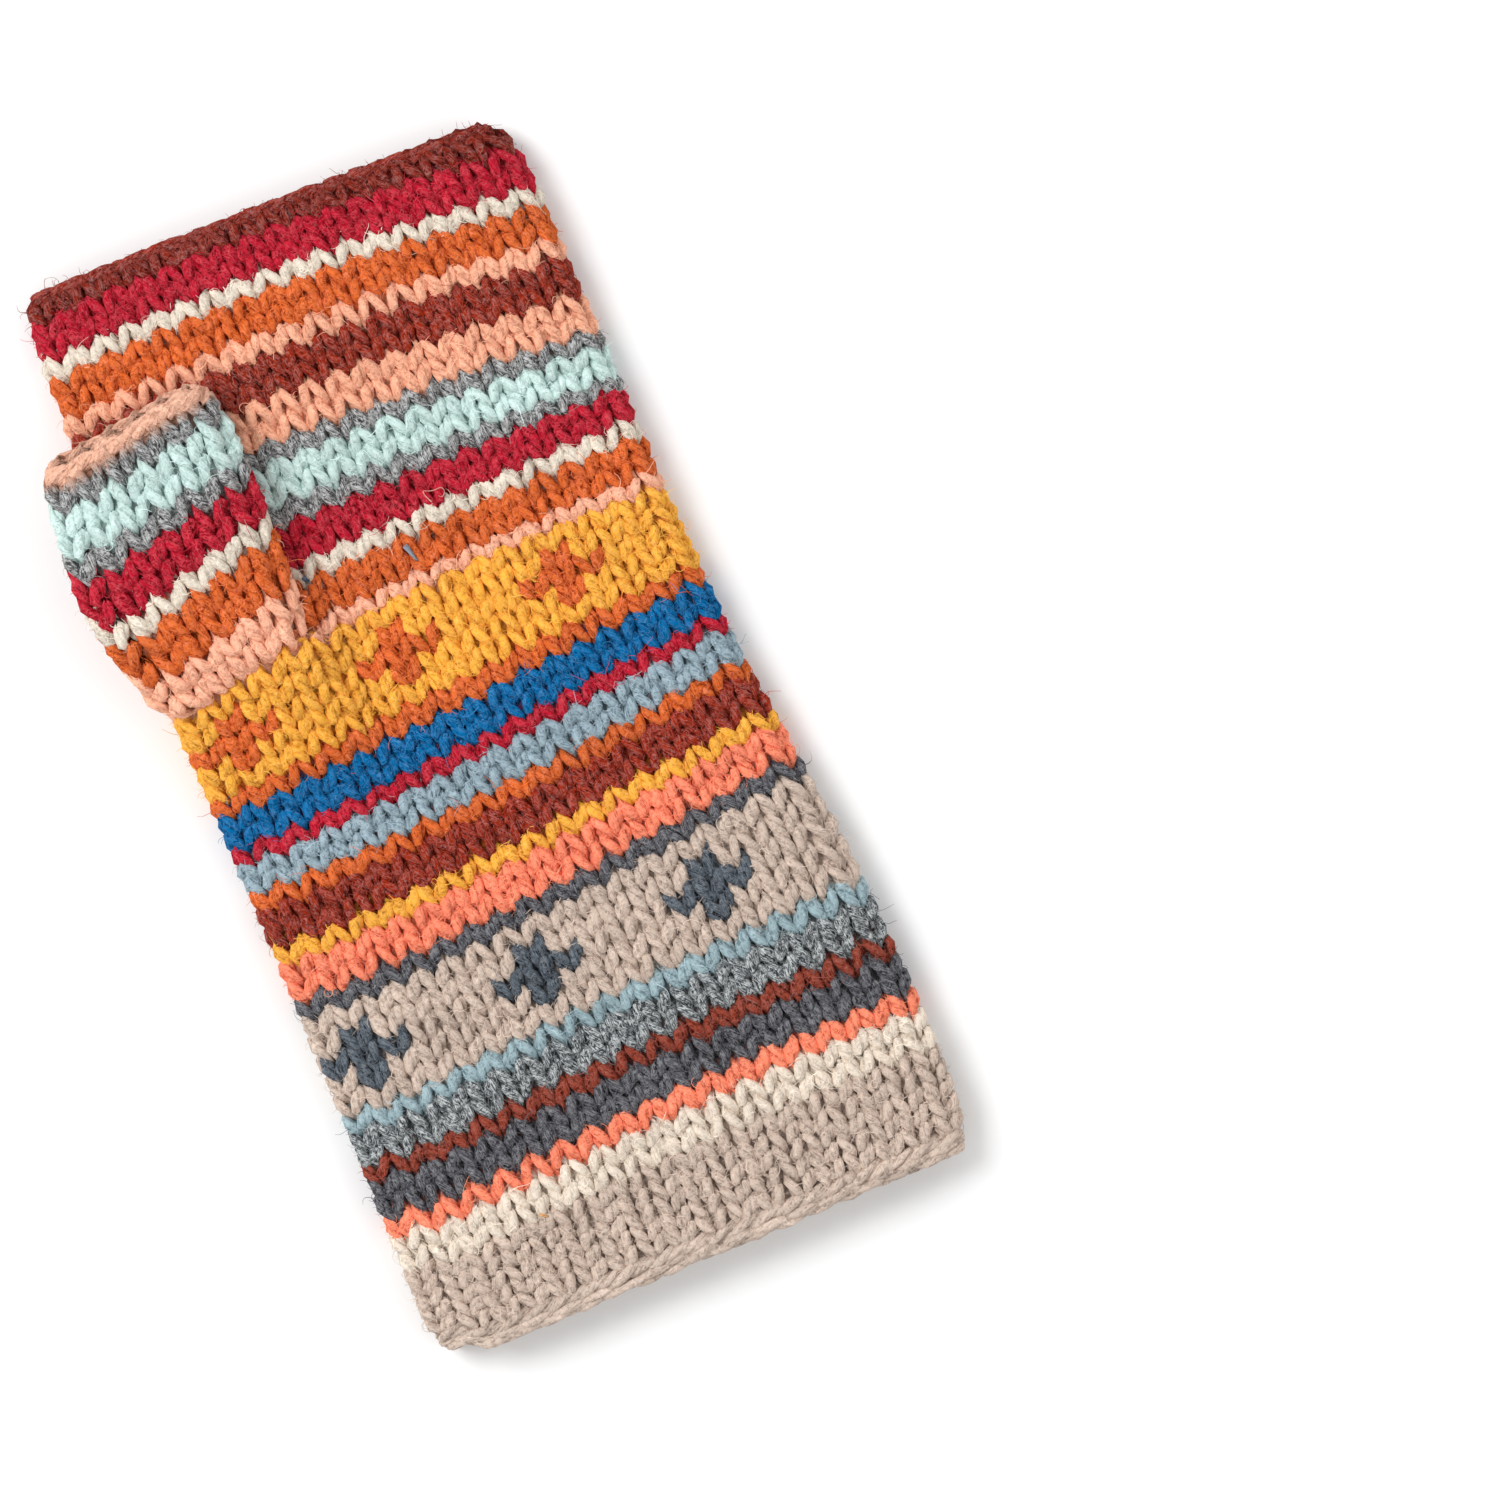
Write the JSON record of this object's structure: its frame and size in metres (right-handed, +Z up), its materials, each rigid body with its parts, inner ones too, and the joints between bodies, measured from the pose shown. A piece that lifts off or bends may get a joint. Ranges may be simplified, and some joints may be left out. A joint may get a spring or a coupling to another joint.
{
  "type": "knitted wrist warmer",
  "caption": "Striped hand-knitted fingerless wrist warmer for the left hand with a short thumb tube, lying flat with the palm side up.",
  "frame": {"origin": "the middle of the flat underside, on the surface that the warmer lies on", "axes": "+Y along the warmer towards the finger end, +X across it away from the thumb, +Z up out of the palm side"},
  "size_m": [0.1246, 0.2283, 0.0246],
  "materials": {
    "striped_wool": "soft matt hand-knitted wool in stripes of many colours",
    "rust_wool": "soft matt wool",
    "taupe_wool": "soft matt wool",
    "peach_wool": "soft matt wool",
    "brown_leather": "lightly grained, half matt"
  },
  "bodies": {
    "root": {"hand_tube": "striped_wool", "thumb_tube": "striped_wool", "finger_edge": "rust_wool", "wrist_edge": "taupe_wool", "thumb_edge": "peach_wool", "leather_patch": "brown_leather"}
  },
  "joints": []
}
